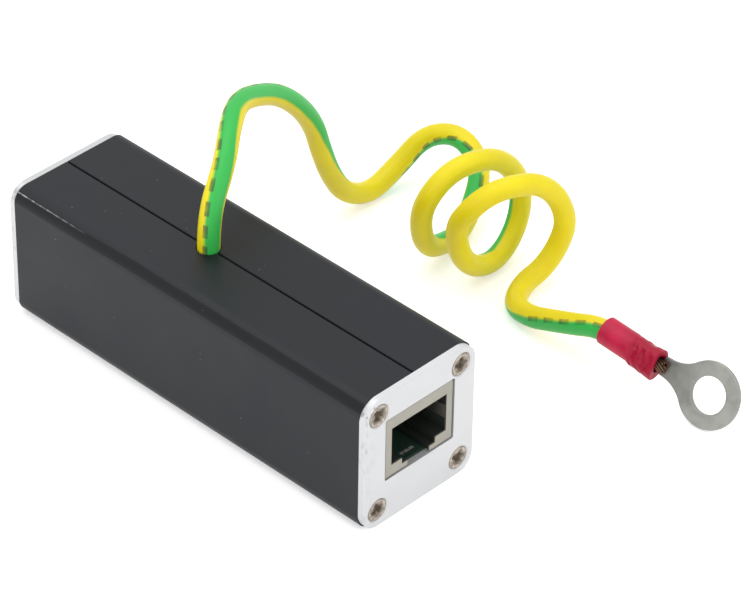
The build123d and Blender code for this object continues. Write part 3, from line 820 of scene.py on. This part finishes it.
class PROTECTOR_OT_strands(bpy.types.Operator):
    """Make the bare copper strands in the terminal"""

    bl_idname = "protector.strands"
    bl_label = "Copper strands"

    def execute(self, context):
        settings = context.scene.protector_wire
        copper = tinned("bare_copper", settings.copper, 0.35, 0.5, 0.35)
        show("copper_strands", strands_mesh(settings), copper, "bare_copper", "wire_strands")
        return {"FINISHED"}


class PROTECTOR_OT_sleeve(bpy.types.Operator):
    """Make the soft sleeve over the crimp"""

    bl_idname = "protector.sleeve"
    bl_label = "Sleeve"

    def execute(self, context):
        plastic = sleeve_plastic(context.scene.protector_terminal)
        show("crimp_sleeve", sleeve_mesh(), plastic, "sleeve_red", "terminal_sleeve")
        return {"FINISHED"}


class PROTECTOR_OT_ring(bpy.types.Operator):
    """Make the stamped ring terminal"""

    bl_idname = "protector.ring"
    bl_label = "Ring terminal"

    def execute(self, context):
        settings = context.scene.protector_terminal
        tin = tinned("terminal_tin", settings.tin, 0.42, 0.6, 0.24, NECK_SHADE)
        show("ring_terminal_stamped", ring_mesh(settings), tin, "terminal_tin", "ring_terminal")
        return {"FINISHED"}


class PROTECTOR_OT_wire(bpy.types.Operator):
    """Make the insulated earth wire; the terminal's pieces come first"""

    bl_idname = "protector.wire"
    bl_label = "Earth wire"

    def execute(self, context):
        settings = context.scene.protector_wire
        path = wire_route()
        insulated = ("earth_wire_lead", "earth_wire_coil", "earth_wire_tail")
        mesh = wire_mesh(path, settings)
        wire = show("earth_wire", mesh, insulation(settings), "wire_insulation", *insulated)
        return {"FINISHED"}


def wire_mesh(path, settings):
    """Tube round the path whose first column faces away from the green stripe.

    Point (i, j) is path point i plus the radius times cos(a_j) times the stripe's
    direction plus sin(a_j) times the direction square to it, with a_j from pi round
    to 3 pi. At each station of STRIPE_TURNS the stripe's direction is cos(turn) times
    the one towards the viewpoint plus sin(turn) times the one to its left, both square
    to the wire. Between stations it goes evenly over, and is made square to the wire.
    """
    steps = np.linalg.norm(np.diff(path, axis=0), axis=1)
    distance = np.concatenate([[0.0], np.cumsum(steps)])
    along = unit(np.gradient(path, axis=0))
    stations, turns = np.array(STRIPE_TURNS, dtype=float).T
    stations, turns = stations * MM, np.radians(turns)[:, None]
    run = unit(read_at(stations, distance, along))
    facing = square_to(np.array(VIEWPOINT) * MM - read_at(stations, distance, path), run)
    stripe = facing * np.cos(turns) + np.cross(facing, run) * np.sin(turns)
    towards = square_to(read_at(distance, stations, stripe), along)
    square = np.cross(along, towards)
    angles = math.pi + round_angles(settings.sides)
    ring = np.cos(angles)[:, None] * towards[:, None] + np.sin(angles)[:, None] * square[:, None]
    points = path[:, None] + settings.diameter / 2 * ring
    mesh = grid_mesh("earth_wire", points)
    rows, columns = points.shape[:2]
    i, j = np.meshgrid(np.arange(rows - 1), np.arange(columns), indexing="ij")
    u = np.stack([j, j + 1, j + 1, j], axis=-1) / columns
    v = distance[np.stack([i, i, i + 1, i + 1], axis=-1)]
    places = np.stack([u, v], axis=-1).reshape(-1, 2)
    caps = np.zeros((2 * columns, 2))
    layer = mesh.uv_layers.new(name="wire")
    layer.data.foreach_set("uv", np.concatenate([places, caps]).ravel())
    return mesh


def round_bar(line, radius):
    """Round bar along a nearly straight line in local x, as a grid of circles."""
    angles = round_angles(STRAND_SIDES)
    circle = np.stack([0 * angles, np.cos(angles), np.sin(angles)], axis=-1)
    return line[:, None] + radius * circle[None]


def strands_mesh(settings):
    """Bundle of twisted strands: one in the middle, a layer of six and an outer layer.

    Strand k of a layer runs at the layer's radius, and its angle grows evenly along x.
    Past the sleeve the bundle spreads a little, rests on the neck and ends unevenly.
    """
    start = -(RING_REACH - WIRE_ENTRY) * MM
    sleeve_end = -(RING_REACH - SLEEVE_LENGTH) * MM
    thick = STRAND_RADIUS * MM
    rise = barrel_rise()
    on_neck = bpy.context.scene.protector_terminal.thickness / 2 + thick
    random = np.random.default_rng(11)
    bars = []
    for count, radius in ((1, 0.0), (6, INNER_LAYER * MM), (settings.strands, OUTER_LAYER * MM)):
        for index in range(count):
            end = sleeve_end + random.uniform(0.7, 1.6) * MM
            x = np.linspace(start, end, 40)
            outside = np.clip((x - sleeve_end) / (2 * MM), 0, 1)
            angle = 2 * math.pi * index / count + (x - start) / (STRAND_TWIST * MM) * 2 * math.pi
            spread = radius * (1 + 0.25 * outside) + random.uniform(-0.06, 0.12) * MM * outside
            y = spread * np.cos(angle)
            z = rise + spread * np.sin(angle) - 0.35 * MM * outside
            z = np.where(x > sleeve_end, np.maximum(z, on_neck), z)
            bar = round_bar(np.stack([x, y, z], axis=-1), thick)
            bars.append(terminal_mesh("strand", bar))
    return joined("copper_strands", bars)


def terminal_mesh(name, points, close_rows=False):
    """Closed mesh of a grid that is given in the terminal's own axes."""
    return grid_mesh(name, placed(points, terminal_frame()), close_rows)


def oval(width, height, angles, power):
    """Superellipse of a width and height: power 1 is an ellipse, under 1 is boxier."""
    y = width / 2 * np.sign(np.cos(angles)) * np.abs(np.cos(angles)) ** power
    z = height / 2 * np.sign(np.sin(angles)) * np.abs(np.sin(angles)) ** power
    return y, z


def smooth_step(value, low, high):
    """0 below low, 1 above high, with an even slope at both."""
    share = np.clip((value - low) / (high - low), 0, 1)
    return share * share * (3 - 2 * share)


def sleeve_mesh():
    """Sleeve: round over the wire, pressed to a boxy oval with three dents over the barrel.

    At each x there is an outer superellipse, between the round and the pressed one, and
    an inner one, the bore, which closes in on the strands at the far end. A point is the
    outer one plus a share of the way to the inner one. The share goes out along the
    outside at 0, over the rounded far end to 1, back along the bore and over the near
    rim. Three smooth-edged hollows in the top, a groove where the round part ends and a
    few low waves are taken off the outside.
    """
    start = -RING_REACH * MM
    end = start + SLEEVE_LENGTH * MM
    rim = 0.2 * MM
    angles = round_angles(128)[None]
    outside = np.linspace(start + rim, end - rim, 190)
    turn = np.linspace(-math.pi / 2, 0, 5)[1:]
    face = np.linspace(0.2, 0.8, 6)[1:-1]
    inside = outside[::-1][::6]
    near = np.linspace(-math.pi / 2, math.pi / 2, 9)[1:-1]
    stations = (
        (outside, 0 * outside),
        (end - rim + rim * np.cos(turn), 0.2 * (1 + np.sin(turn))),
        (end + 0 * face, face),
        (end - rim + rim * np.cos(turn[::-1]), 1 - 0.2 * (1 + np.sin(turn[::-1]))),
        (inside, 0 * inside + 1),
        (start + rim - rim * np.cos(near), (1 - np.sin(near)) / 2),
    )
    x, share = np.concatenate(stations, axis=1)[..., None]
    along = (x - start) / MM
    pressed = smooth_step(along, 6.2, 7.6)
    flare = 0.4 * smooth_step(along, SLEEVE_LENGTH - 2.4, SLEEVE_LENGTH - 0.2)
    width, height = SLEEVE_OUTSIDE + 0.2 * pressed + flare, SLEEVE_OUTSIDE - pressed + flare / 2
    outer_y, outer_z = oval(width, height, angles, 1 - 0.22 * pressed)
    outer_y = outer_y - 0.22 * pressed
    narrow = smooth_step(along, SLEEVE_LENGTH - 0.6, SLEEVE_LENGTH - 0.2)
    flat = smooth_step(along, 3.6, 4.6)
    width, height = SLEEVE_BORE - 1.1 * narrow, SLEEVE_BORE - 1.2 * flat - 0.6 * narrow
    inner_y, inner_z = oval(width, height, angles, 1.0)
    hollows = 0.0
    for middle, aside, half, depth in SLEEVE_DENTS:
        off = np.abs(along - middle) - 0.2 * np.sin(outer_y * 2.1 + middle)
        inside_it = 1 - smooth_step(off, 0.42, 0.62)
        beside = 1 - smooth_step(np.abs(outer_y - aside), half, half + 0.6)
        hollows = hollows + depth * inside_it * beside * smooth_step(outer_z, 0.0, 0.8)
    groove_at = 7.0 + 0.55 * np.cos(angles - 2.6) + 0.12 * np.sin(3 * angles)
    groove = 0.13 * np.exp(-(((along - groove_at) / 0.4) ** 2)) * (0.6 + 0.4 * np.cos(angles - 1.4))
    waves = 0.045 * np.sin(3 * angles + 2.2 * along) + 0.035 * np.sin(7 * angles - 3.7 * along + 1.0)
    loss = (groove + pressed * (waves + hollows)) * (1 - share)
    scale = 1 - loss / np.hypot(outer_y, outer_z)
    y = outer_y * scale + (inner_y - outer_y * scale) * share
    z = outer_z * scale + (inner_z - outer_z * scale) * share
    ragged = 0.12 * smooth_step(along, SLEEVE_LENGTH - 1.0, SLEEVE_LENGTH) * (1 + np.sin(2 * angles + 0.7))
    points = np.stack([x - ragged * MM, y * MM, z * MM + barrel_rise()], axis=-1)
    return terminal_mesh("crimp_sleeve", points, close_rows=True)


def screw_profile():
    """Half section of a screw below its head's face: radius and depth in metres."""
    rim, shank = SCREW_HEAD / 2, SCREW_SHANK / 2
    cone_foot = SCREW_LAND + rim - shank
    points = (
        (rim - 0.06, 0.0),
        (rim - 0.02, 0.015),
        (rim, 0.06),
        (rim, SCREW_LAND),
        (rim - 0.04, SCREW_LAND + 0.04),
        (shank, cone_foot),
        (shank, SCREW_LENGTH - SCREW_TIP),
        (SCREW_TIP / 2, SCREW_LENGTH),
    )
    return np.array(points) * MM


def screw_points(turn, random):
    """One screw about local z, its head's rim at z = 0, as a grid of circles.

    The head is a low dome less the recess. The recess is a cross: at a place (u, v)
    its depth is the larger of two blades and a round middle, each blade being a smooth
    step down across its width times one along its length, and it grows towards the
    middle. A few random lobes round the edges stand for wear.
    """
    sides = 96
    angles = round_angles(sides)
    radii = np.linspace(0.03, SCREW_HEAD / 2 - 0.06, 42)
    r, a = np.meshgrid(radii, angles, indexing="ij")
    wear = 0.05 * np.sin(3 * a + random.uniform(0, 6)) + 0.04 * np.sin(7 * a + random.uniform(0, 6))
    u = r * np.cos(a - math.radians(turn))
    v = r * np.sin(a - math.radians(turn))
    blades = []
    for across, along in ((u, v), (v, u)):
        inside = 1 - smooth_step(np.abs(across), 0.22, 0.5 + wear)
        blades.append(inside * (1 - smooth_step(np.abs(along), 1.15, 1.6 + wear)))
    middle = 1 - smooth_step(r, 0.5, 1.0 + wear)
    recess = np.maximum(np.maximum(*blades), middle) * (0.3 + 0.6 * np.clip(1 - r / 1.5, 0, 1))
    dome = 0.06 * (1 - (r / (SCREW_HEAD / 2)) ** 2)
    face = np.stack([r * np.cos(a), r * np.sin(a), dome - recess], axis=-1) * MM
    profile = screw_profile()
    circle = np.stack([np.cos(angles), np.sin(angles)], axis=-1)
    below = np.concatenate([
        profile[:, :1, None] * circle[None],
        np.broadcast_to(-profile[:, 1, None, None], (len(profile), sides, 1)),
    ], axis=-1)
    return np.concatenate([face, below])


def screws_mesh(name, end):
    """The four screws of one end; end is -1 for the front and 1 for the rear."""
    face = end * (abs(plate_face_y) - SCREW_SINK * MM)
    inset = SCREW_INSET * MM
    across = body_high[0] - inset
    random = np.random.default_rng(5)
    screws = []
    turns = iter(SCREW_TURNS)
    for x in (-across, across):
        for z in (body_low[2] + inset, body_high[2] - inset):
            out = Matrix(((-end, 0, 0), (0, 0, end), (0, 1, 0))).to_4x4()
            place = Matrix.Translation((-end * x, face, z)) @ out
            screws.append(grid_mesh("screw", placed(screw_points(next(turns), random)[::-1], place)))
    mesh = joined(name, screws)
    sharpen(mesh, 38)
    return mesh


def ring_outline(half_neck, outer_radius, fillet, neck_end, count):
    """Outline of ring and neck as seen from the ring's centre: reach by direction.

    The neck's sides are straight, arcs of the fillet radius run into the circle, and
    the smaller reach of side and end closes the neck.
    """
    direction = np.linspace(-math.pi, math.pi, count, endpoint=False)
    fillet_y = half_neck + fillet
    fillet_x = -math.sqrt((outer_radius + fillet) ** 2 - fillet_y**2)
    towards = math.atan2(fillet_y, -fillet_x)
    off_neck = math.pi - np.abs(direction)
    along_side = half_neck / np.maximum(np.sin(np.maximum(off_neck, 1e-6)), 1e-6)
    along_end = neck_end / np.maximum(np.cos(np.minimum(off_neck, 1.4)), 1e-6)
    middle = math.hypot(fillet_x, fillet_y)
    turn = off_neck - towards
    inside = np.maximum(fillet**2 - (middle * np.sin(turn)) ** 2, 0)
    along_fillet = middle * np.cos(turn) - np.sqrt(inside)
    where_side_ends = math.atan2(half_neck, -fillet_x)
    reach = np.where(off_neck < where_side_ends, np.minimum(along_side, along_end), along_fillet)
    reach = np.where(off_neck > towards, outer_radius, reach)
    return direction, reach


def ring_mesh(settings):
    """Stamped ring with its neck, and the oval barrel behind it, inside the sleeve.

    The ring's section goes from the hole's wall over the top to the outer edge and
    back underneath, with its four corners rounded, and is carried round the hole from
    direction to direction out to the outline's reach there.
    """
    hole = settings.hole_diameter / 2
    neck_end = (RING_REACH - SLEEVE_LENGTH - 0.05) * MM
    outer = settings.ring_diameter / 2
    direction, reach = ring_outline(NECK_WIDTH / 2 * MM, outer, NECK_FILLET * MM, neck_end, 360)
    radius, half = settings.edge_radius, settings.thickness / 2
    turn = np.linspace(0, math.pi / 2, 5)
    inset, rise = radius * (1 - np.cos(turn)), half - radius + radius * np.sin(turn)
    across = np.linspace(0.0, 1.0, 8)[1:-1]
    share = np.concatenate([0 * turn, across, 0 * turn + 1])
    shift = np.concatenate([inset, 0 * across, -inset[::-1]])
    height = np.concatenate([rise, 0 * across + half, rise[::-1]])
    top = hole + ((reach - hole)[:, None] * share + shift)
    out = np.concatenate([top, top[:, ::-1]], axis=1)
    z = np.broadcast_to(np.concatenate([height, -height[::-1]]), out.shape)
    points = np.stack([out * np.cos(direction)[:, None], out * np.sin(direction)[:, None], z], axis=-1)
    blade = terminal_mesh("blade", points, close_rows=True)
    barrel_start = -(RING_REACH - BARREL_START) * MM
    barrel_end = -(RING_REACH - SLEEVE_LENGTH + BARREL_INSET) * MM
    angles = round_angles(64)
    lip = 0.2 * MM
    rows = []
    for place, shrink in (
        (barrel_start, 0.0),
        (barrel_end - lip, 0.0),
        (barrel_end - 0.3 * lip, 0.2),
        (barrel_end, 0.6),
        (barrel_end, BARREL_HEIGHT - BARREL_BORE),
        (barrel_start, BARREL_HEIGHT - BARREL_BORE),
    ):
        y, z = oval((BARREL_WIDTH - shrink) * MM, (BARREL_HEIGHT - shrink) * MM, angles, 1.0)
        rows.append(np.stack([np.full(len(angles), place), y, z + barrel_rise()], axis=-1))
    barrel = terminal_mesh("barrel", np.stack(rows), close_rows=True)
    mesh = joined("ring_terminal_stamped", [blade, barrel])
    sharpen(mesh, 50)
    return mesh


class PROTECTOR_OT_stage(bpy.types.Operator):
    """Set the floor, the even studio light and the camera"""

    bl_idname = "protector.stage"
    bl_label = "Stage"

    def execute(self, context):
        settings = context.scene.protector_stage
        context.scene.view_settings.view_transform = "Standard"
        floor()
        white_world(settings)
        for name, place, size in LAMPS:
            lamp(name, getattr(settings, name), place, size)
        photo_camera(settings)
        return {"FINISHED"}


def seen_directly(tree):
    """1 for rays from the camera, off a glossy surface or through a clear one."""
    rays = add(tree, "ShaderNodeLightPath")
    glossy = maths("MAXIMUM", Field(rays, "Is Camera Ray"), Field(rays, "Is Glossy Ray"))
    return maths("MAXIMUM", glossy, Field(rays, "Is Transmission Ray"))


def floor():
    """Pale floor under the object: it keeps the shadow and is white where none falls."""
    material, coords = start_material("floor_white")
    tree = coords.tree
    diffuse = add(tree, "ShaderNodeBsdfDiffuse", {"Color": (FLOOR_GREY, FLOOR_GREY, FLOOR_GREY, 1.0)})
    strength = seen_directly(tree) * FLOOR_GLOW
    glow = add(tree, "ShaderNodeEmission", {"Color": WHITE, "Strength": strength})
    both = add(tree, "ShaderNodeAddShader", {0: Field(diffuse, "BSDF"), 1: Field(glow, "Emission")})
    add(tree, "ShaderNodeOutputMaterial", {"Surface": Field(both, "Shader")})
    mesh = bpy.data.meshes.new("floor")
    corners = [(x * FLOOR_REACH, y * FLOOR_REACH, 0) for x, y in ((-1, -1), (1, -1), (1, 1), (-1, 1))]
    mesh.from_pydata(corners, [], [(0, 1, 2, 3)])
    mesh.materials.append(material)
    put("floor", mesh)


def white_world(settings):
    """White to the camera and in reflections, a plain even light to everything else."""
    world = bpy.data.worlds.new("studio")
    bpy.context.scene.world = world
    world.use_nodes = True
    tree = world.node_tree
    tree.nodes.clear()
    strength = remap(seen_directly(tree), 0.0, 1.0, settings.ambient, 1.0)
    light = add(tree, "ShaderNodeBackground", {"Color": WHITE, "Strength": strength})
    add(tree, "ShaderNodeOutputWorld", {"Surface": Field(light, "Background")})


def lamp(name, power, place, size):
    """Square soft lamp aimed at the middle of the object."""
    light = bpy.data.lights.new(name, "AREA")
    light.energy = power
    light.size = size
    holder = put(name, light)
    holder.location = place
    holder.rotation_euler = (Vector(LAMP_AIM) - Vector(place)).to_track_quat("-Z", "Y").to_euler()


def photo_camera(settings):
    """Camera at the photograph's place, aimed along its axis and rolled with it."""
    place, aim = Vector(VIEWPOINT) * MM, Vector(VIEW_AIM) * MM
    camera = bpy.data.cameras.new("photo_camera")
    camera.sensor_width = 36
    camera.lens = settings.focal_length
    camera.clip_start = 0.01
    camera.clip_end = 20
    holder = put("photo_camera", camera)
    roll = Matrix.Rotation(math.radians(VIEW_ROLL), 3, "Z")
    turn = (aim - place).to_track_quat("-Z", "Y").to_matrix() @ roll
    holder.matrix_world = Matrix.Translation(place) @ turn.to_4x4()
    bpy.context.scene.camera = holder


# The operators in order, and the settings that the panel lists under each
PANEL_ROWS = (
    (PROTECTOR_OT_housing, "protector_box", ("black",)),
    (PROTECTOR_OT_plates, "protector_box", ("silver",)),
    (PROTECTOR_OT_screws, "protector_box", ("nickel", "grime")),
    (PROTECTOR_OT_sockets, "protector_box", ("shield", "moulding", "gold")),
    (PROTECTOR_OT_board, "protector_box", ("laminate", "ceramic", "solder", "resin")),
    (PROTECTOR_OT_strands, "protector_wire", ("copper", "strands")),
    (PROTECTOR_OT_sleeve, "protector_terminal", ("sleeve",)),
    (
        PROTECTOR_OT_ring, "protector_terminal",
        ("ring_diameter", "hole_diameter", "thickness", "edge_radius", "tin"),
    ),
    (
        PROTECTOR_OT_wire, "protector_wire",
        ("diameter", "length", "sides", "green_share", "yellow", "green", "ink"),
    ),
    (PROTECTOR_OT_stage, "protector_stage", ("ambient", "overhead", "left", "front", "focal_length")),
)


class PROTECTOR_PT_panel(bpy.types.Panel):
    """Lists the pieces of the protector and their settings"""

    bl_idname = "PROTECTOR_PT_panel"
    bl_label = "Surge protector"
    bl_space_type = "VIEW_3D"
    bl_region_type = "UI"
    bl_category = "Protector"

    def draw(self, context):
        for operator, group, names in PANEL_ROWS:
            column = self.layout.column()
            column.operator(operator.bl_idname)
            for name in names:
                column.prop(getattr(context.scene, group), name)


SETTINGS = {
    "protector_wire": WireSettings,
    "protector_terminal": TerminalSettings,
    "protector_box": BoxSettings,
    "protector_stage": StageSettings,
}
CLASSES = (*(row[0] for row in PANEL_ROWS), PROTECTOR_PT_panel)


def register():
    for name, group in SETTINGS.items():
        bpy.utils.register_class(group)
        setattr(bpy.types.Scene, name, PointerProperty(type=group))
    for kind in CLASSES:
        bpy.utils.register_class(kind)


def unregister():
    for kind in CLASSES:
        bpy.utils.unregister_class(kind)
    for name, group in SETTINGS.items():
        delattr(bpy.types.Scene, name)
        bpy.utils.unregister_class(group)


def main():
    """Make everything in order."""
    register()
    bpy.ops.protector.housing()
    bpy.ops.protector.plates()
    bpy.ops.protector.screws()
    bpy.ops.protector.sockets()
    bpy.ops.protector.board()
    bpy.ops.protector.strands()
    bpy.ops.protector.sleeve()
    bpy.ops.protector.ring()
    bpy.ops.protector.wire()
    bpy.ops.protector.stage()


if __name__ == "__main__":
    main()
